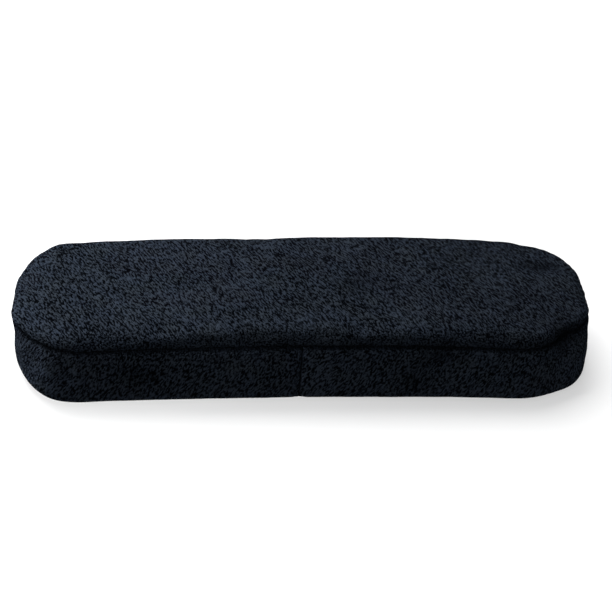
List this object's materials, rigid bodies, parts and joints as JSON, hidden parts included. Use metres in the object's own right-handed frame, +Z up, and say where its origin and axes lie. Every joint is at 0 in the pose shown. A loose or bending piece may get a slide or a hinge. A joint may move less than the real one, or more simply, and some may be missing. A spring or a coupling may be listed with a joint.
{
  "type": "chair armrest pad",
  "caption": "Padded chair armrest cushion: foam block in a zipped black plush cover, with hook-and-loop straps under it that go round the chair's arm.",
  "frame": {"origin": "centre of the pad's outline, on the surface that its lower rim stands on", "axes": "+X along the pad, +Y towards the zip in the rear wall, +Z up out of the forearm face"},
  "size_m": [0.26, 0.089, 0.0356],
  "materials": {
    "plush": "matte",
    "foam": "matte",
    "anti_slip_cloth": "matte",
    "zip_tape": "matte",
    "zip_nylon": "satin",
    "zip_metal": "satin",
    "webbing": "matte",
    "loop_cloth": "matte",
    "hook_tape": "matte"
  },
  "bodies": {
    "root": {"foam_core": "foam", "top_panel": "plush", "left_band": "plush", "right_band": "plush", "rear_upper_strip": "plush", "rear_lower_strip": "plush", "bottom_panel": "anti_slip_cloth", "zip_tape_upper": "zip_tape", "zip_tape_lower": "zip_tape", "zip_coil_upper": "zip_nylon", "zip_coil_lower": "zip_nylon", "zip_top_stop_upper": "zip_metal", "zip_top_stop_lower": "zip_metal", "zip_bottom_stop": "zip_metal", "hook_strap_sewn_end_left": "webbing", "loop_strap_sewn_end_left": "loop_cloth", "hook_strap_sewn_end_right": "webbing", "loop_strap_sewn_end_right": "loop_cloth"},
    "zip_slider": {"zip_slider": "zip_metal"},
    "zip_pull": {"zip_pull_tab": "zip_metal"},
    "hook_strap_left": {"hook_strap_left": "webbing", "hook_patch_left": "hook_tape"},
    "loop_strap_left": {"loop_strap_left": "loop_cloth"},
    "hook_strap_right": {"hook_strap_right": "webbing", "hook_patch_right": "hook_tape"},
    "loop_strap_right": {"loop_strap_right": "loop_cloth"}
  },
  "joints": [
    {"name": "zip_slide", "type": "slide", "parent": "root", "child": "zip_slider", "axis": [1, 0, 0], "range_m": [0, 0.156]},
    {"name": "pull_tab_swing", "type": "hinge", "parent": "zip_slider", "child": "zip_pull", "pos_m": [-0.078, 0.0442, 0.0175], "axis": [0, 0, 1], "range_deg": [0, 170]},
    {"name": "hook_strap_left_swing", "type": "hinge", "parent": "root", "child": "hook_strap_left", "pos_m": [-0.065, 0.024, 0.00315], "axis": [1, 0, 0], "range_deg": [0, 120]},
    {"name": "loop_strap_left_swing", "type": "hinge", "parent": "root", "child": "loop_strap_left", "pos_m": [-0.065, -0.024, 0.00305], "axis": [1, 0, 0], "range_deg": [-120, 0]},
    {"name": "hook_strap_right_swing", "type": "hinge", "parent": "root", "child": "hook_strap_right", "pos_m": [0.065, 0.024, 0.00315], "axis": [1, 0, 0], "range_deg": [0, 120]},
    {"name": "loop_strap_right_swing", "type": "hinge", "parent": "root", "child": "loop_strap_right", "pos_m": [0.065, -0.024, 0.00305], "axis": [1, 0, 0], "range_deg": [-120, 0]}
  ],
  "couplings": [
    {"joint": "loop_strap_left_swing", "follows": "hook_strap_left_swing", "ratio": -1},
    {"joint": "loop_strap_right_swing", "follows": "hook_strap_right_swing", "ratio": -1}
  ]
}
